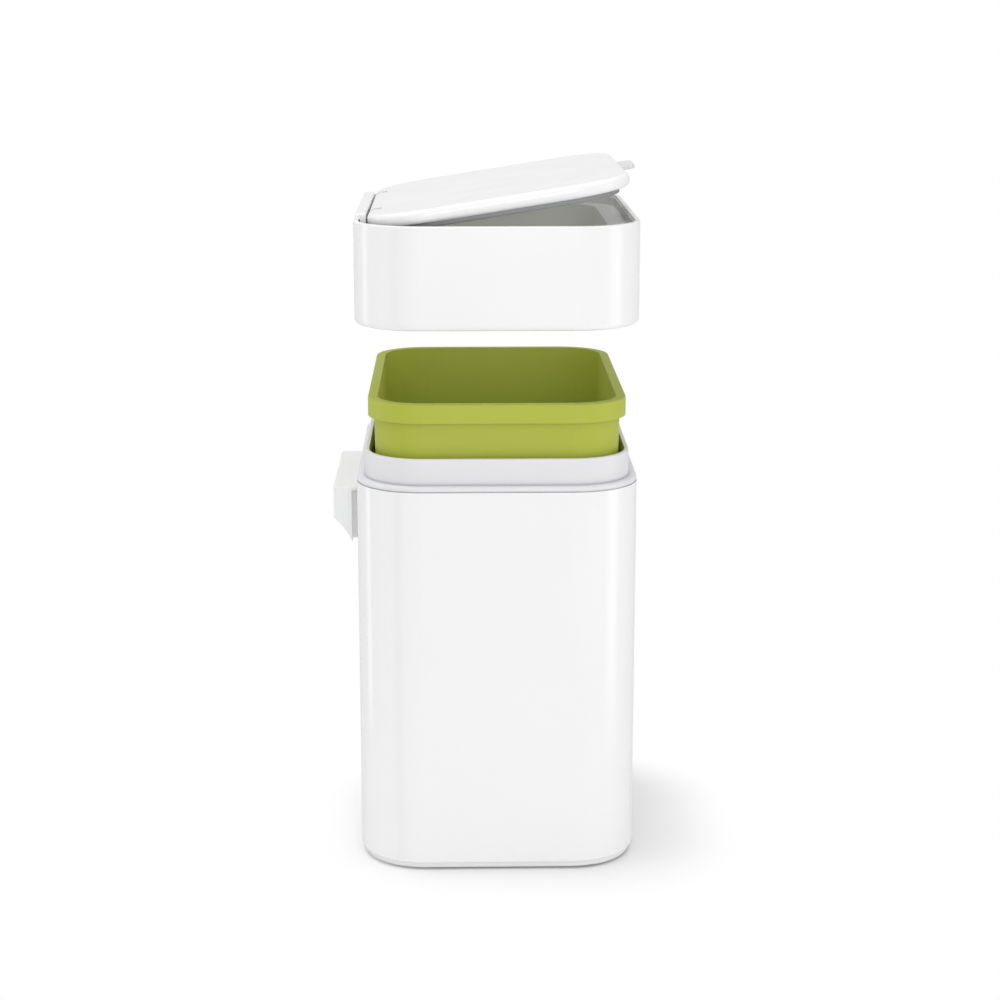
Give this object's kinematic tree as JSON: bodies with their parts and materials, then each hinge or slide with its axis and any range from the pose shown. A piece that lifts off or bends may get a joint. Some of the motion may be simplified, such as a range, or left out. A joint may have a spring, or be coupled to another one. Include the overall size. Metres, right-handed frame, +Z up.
{
  "type": "compost caddy",
  "caption": "Rounded-rectangular kitchen compost caddy: enamelled steel body with a side dock bracket, lift-out bucket, lift-off lid ring and hinged sealing lid with finger tab.",
  "frame": {"origin": "on the floor, under the middle of the body's plan, at the level of the base mat's underside", "axes": "+Z up, -X towards the hinge and dock bracket, +X towards the finger tab, -Y towards the viewer of the picture"},
  "size_m": [0.1653, 0.206, 0.3731],
  "materials": {
    "white_enamel": "gloss powder coat on steel",
    "white_gloss_abs": "gloss moulded",
    "white_satin_pp": "satin moulded",
    "grey_pp": "fine moulded texture",
    "green_pp": "satin moulded",
    "grey_silicone": "soft matte",
    "mat_rubber": "matte",
    "spacer_rubber": "matte",
    "screw_steel": "zinc plated",
    "pin_steel": "ground",
    "acetal": "turned",
    "zinc_plate": "zinc plated",
    "magnet_nickel": "nickel plated"
  },
  "bodies": {
    "caddy_body": {"body_shell": "white_enamel", "base_tray": "white_satin_pp", "base_mat": "mat_rubber", "base_screws": "screw_steel", "neck_collar": "white_satin_pp", "dock_housing": "white_satin_pp", "dock_cap": "white_satin_pp", "dock_spacer": "spacer_rubber", "dock_backing_plate": "zinc_plate", "dock_magnets": "magnet_nickel", "dock_screws": "screw_steel"},
    "bucket": {"bucket": "green_pp"},
    "lid_ring": {"lid_ring_shell": "white_gloss_abs", "lid_ring_frame": "grey_pp", "hinge_bushes": "acetal", "hinge_cover": "white_gloss_abs"},
    "lid": {"lid_cover": "white_gloss_abs", "lid_pan": "grey_pp", "lid_gasket": "grey_silicone", "lid_screws": "screw_steel", "hinge_pins": "pin_steel", "lid_tab": "white_gloss_abs"}
  },
  "joints": [
    {"name": "bucket_lift", "type": "slide", "parent": "caddy_body", "child": "bucket", "axis": [0, 0, 1], "range_m": [0, 0.23]},
    {"name": "lid_ring_lift", "type": "slide", "parent": "bucket", "child": "lid_ring", "axis": [0, 0, 1], "range_m": [-0.0814, 0]},
    {"name": "lid_hinge", "type": "hinge", "parent": "lid_ring", "child": "lid", "pos_m": [-0.064, 0, 0.3489], "axis": [0, -1, 0], "range_deg": [-9, 81]}
  ]
}
